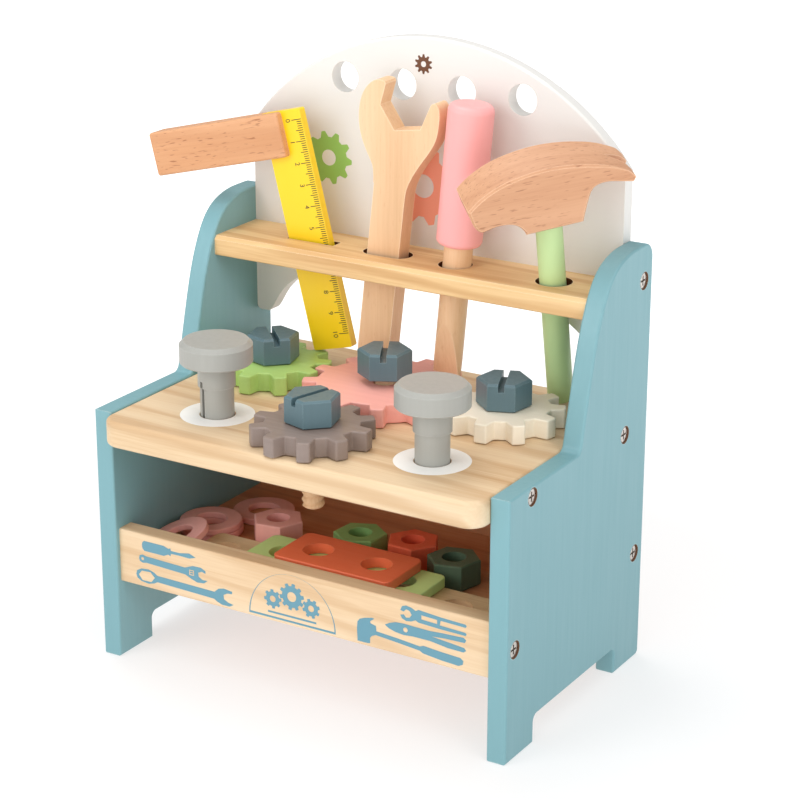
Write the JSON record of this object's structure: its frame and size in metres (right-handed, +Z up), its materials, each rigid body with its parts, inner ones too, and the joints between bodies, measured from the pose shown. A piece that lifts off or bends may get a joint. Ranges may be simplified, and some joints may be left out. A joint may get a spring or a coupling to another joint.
{
  "type": "toy tool bench",
  "caption": "Wooden toy tool bench with an arched back board, tool shelf, meshing gears on slotted bolts, hammering pegs, hand tools and an open tray of loose nuts, washers and plates.",
  "frame": {"origin": "middle of the bottom of the overall bounding box, on the plane the feet stand on", "axes": "+Z up, +Y from the front of the bench to its back, +X to the right as seen from the front"},
  "size_m": [0.2468, 0.1414, 0.2746],
  "materials": {
    "panel_paint": "satin paint over wood, edges slightly worn",
    "pine": "bare planed softwood, clear matt lacquer",
    "tray_wood": "bare plywood, unlacquered",
    "white_paint": "white satin paint",
    "lime_paint": "thin satin paint, grain showing",
    "coral_paint": "thin satin paint, grain showing",
    "taupe_paint": "thin satin paint, grain showing",
    "cream_paint": "thin satin paint, grain showing",
    "slate_paint": "satin paint",
    "peg_paint": "satin paint",
    "thread_wood": "bare turned hardwood",
    "yellow_paint": "gloss paint with printed scale",
    "beech": "bare beech with dark flecks",
    "plain_wood": "bare light hardwood, clear matt lacquer",
    "pink_paint": "satin paint",
    "green_paint": "satin paint",
    "red_paint": "satin paint",
    "leaf_paint": "satin paint",
    "nut_pink": "satin paint",
    "nut_green": "satin paint",
    "nut_red": "satin paint",
    "nut_dark": "satin paint",
    "screw_steel": "bright plated steel"
  },
  "bodies": {
    "bench": {"left_side_panel": "panel_paint", "right_side_panel": "panel_paint", "left_panel_screws": "screw_steel", "right_panel_screws": "screw_steel", "worktop": "pine", "tool_shelf": "pine", "back_panel": "white_paint", "tray_front_board": "pine", "tray_floor": "tray_wood", "tray_back_board": "tray_wood"},
    "pink_gear": {"pink_gear": "coral_paint"},
    "lime_gear": {"lime_gear": "lime_paint"},
    "taupe_gear": {"taupe_gear": "taupe_paint"},
    "cream_gear": {"cream_gear": "cream_paint"},
    "lime_bolt": {"lime_bolt_head": "slate_paint", "lime_bolt_shank": "thread_wood"},
    "pink_bolt": {"pink_bolt_head": "slate_paint", "pink_bolt_shank": "thread_wood"},
    "taupe_bolt": {"taupe_bolt_head": "slate_paint", "taupe_bolt_shank": "thread_wood"},
    "cream_bolt": {"cream_bolt_head": "slate_paint", "cream_bolt_shank": "thread_wood"},
    "left_peg": {"left_peg": "peg_paint"},
    "right_peg": {"right_peg": "peg_paint"},
    "try_square": {"square_stock": "beech", "square_blade": "yellow_paint"},
    "wrench": {"wrench": "plain_wood"},
    "screwdriver": {"screwdriver_handle": "pink_paint", "screwdriver_shaft": "plain_wood"},
    "hammer": {"hammer_head": "beech", "hammer_handle": "green_paint"},
    "long_link_plate": {"long_link_plate": "pine"},
    "green_link_plate": {"green_link_plate": "leaf_paint"},
    "red_link_plate": {"red_link_plate": "red_paint"},
    "pink_nut": {"pink_nut": "nut_pink"},
    "green_nut": {"green_nut": "nut_green"},
    "red_nut": {"red_nut": "nut_red"},
    "dark_green_nut": {"dark_green_nut": "nut_dark"},
    "back_washer": {"back_washer": "nut_pink"},
    "lower_washer": {"lower_washer": "nut_pink"},
    "upper_washer": {"upper_washer": "nut_pink"},
    "front_washer": {"front_washer": "nut_pink"}
  },
  "joints": [
    {"name": "pink_gear_spin", "type": "hinge", "parent": "bench", "child": "pink_gear", "pos_m": [0.01485, 0.01604, 0.1225], "axis": [0, 0, 1], "continuous": true},
    {"name": "lime_gear_spin", "type": "hinge", "parent": "bench", "child": "lime_gear", "pos_m": [-0.04495, 0.01604, 0.1225], "axis": [0, 0, 1], "continuous": true},
    {"name": "taupe_gear_spin", "type": "hinge", "parent": "bench", "child": "taupe_gear", "pos_m": [0.01565, -0.04396, 0.1225], "axis": [0, 0, 1], "continuous": true},
    {"name": "cream_gear_spin", "type": "hinge", "parent": "bench", "child": "cream_gear", "pos_m": [0.07485, 0.01654, 0.1225], "axis": [0, 0, 1], "continuous": true},
    {"name": "pink_bolt_turn", "type": "hinge", "parent": "bench", "child": "pink_bolt", "pos_m": [0.01485, 0.01604, 0.133], "axis": [0, 0, 1], "continuous": true},
    {"name": "lime_bolt_turn", "type": "hinge", "parent": "bench", "child": "lime_bolt", "pos_m": [-0.04495, 0.01604, 0.133], "axis": [0, 0, 1], "continuous": true},
    {"name": "taupe_bolt_turn", "type": "hinge", "parent": "bench", "child": "taupe_bolt", "pos_m": [0.01565, -0.04396, 0.133], "axis": [0, 0, 1], "continuous": true},
    {"name": "cream_bolt_turn", "type": "hinge", "parent": "bench", "child": "cream_bolt", "pos_m": [0.07485, 0.01654, 0.133], "axis": [0, 0, 1], "continuous": true},
    {"name": "left_peg_push", "type": "slide", "parent": "bench", "child": "left_peg", "axis": [0, 0, 1], "range_m": [-0.0133, 0.03]},
    {"name": "right_peg_push", "type": "slide", "parent": "bench", "child": "right_peg", "axis": [0, 0, 1], "range_m": [-0.0133, 0.03]},
    {"name": "try_square_lift", "type": "slide", "parent": "bench", "child": "try_square", "axis": [-0.2471, 0, 0.969], "range_m": [0, 0.07]},
    {"name": "wrench_lift", "type": "slide", "parent": "bench", "child": "wrench", "axis": [0.1123, 0, 0.9937], "range_m": [0, 0.07]},
    {"name": "screwdriver_lift", "type": "slide", "parent": "bench", "child": "screwdriver", "axis": [0.0896, 0, 0.996], "range_m": [0, 0.07]},
    {"name": "hammer_lift", "type": "slide", "parent": "bench", "child": "hammer", "axis": [0.0601, -0.2864, 0.9562], "range_m": [0, 0.08]},
    {"name": "long_plate_slide", "type": "slide", "parent": "bench", "child": "long_link_plate", "axis": [1, 0, 0], "range_m": [0, 0.015]},
    {"name": "green_plate_lift", "type": "slide", "parent": "long_link_plate", "child": "green_link_plate", "axis": [0, 0, 1], "range_m": [0, 0.012]},
    {"name": "red_plate_lift", "type": "slide", "parent": "green_link_plate", "child": "red_link_plate", "axis": [0, 0, 1], "range_m": [0, 0.013]},
    {"name": "pink_nut_lift", "type": "slide", "parent": "bench", "child": "pink_nut", "axis": [0, 0, 1], "range_m": [0, 0.025]},
    {"name": "green_nut_lift", "type": "slide", "parent": "bench", "child": "green_nut", "axis": [0, 0, 1], "range_m": [0, 0.025]},
    {"name": "red_nut_lift", "type": "slide", "parent": "bench", "child": "red_nut", "axis": [0, 0, 1], "range_m": [0, 0.025]},
    {"name": "dark_green_nut_lift", "type": "slide", "parent": "bench", "child": "dark_green_nut", "axis": [0, 0, 1], "range_m": [0, 0.025]},
    {"name": "back_washer_lift", "type": "slide", "parent": "bench", "child": "back_washer", "axis": [0, 0, 1], "range_m": [0, 0.03]},
    {"name": "lower_washer_lift", "type": "slide", "parent": "bench", "child": "lower_washer", "axis": [0, 0, 1], "range_m": [0, 0.01]},
    {"name": "upper_washer_lift", "type": "slide", "parent": "lower_washer", "child": "upper_washer", "axis": [0, 0, 1], "range_m": [0, 0.01]},
    {"name": "front_washer_lift", "type": "slide", "parent": "upper_washer", "child": "front_washer", "axis": [0, 0, 1], "range_m": [0, 0.01]}
  ],
  "couplings": [
    {"joint": "lime_gear_spin", "follows": "pink_gear_spin", "ratio": -1.2},
    {"joint": "taupe_gear_spin", "follows": "pink_gear_spin", "ratio": -1.2},
    {"joint": "cream_gear_spin", "follows": "pink_gear_spin", "ratio": -1.2}
  ]
}
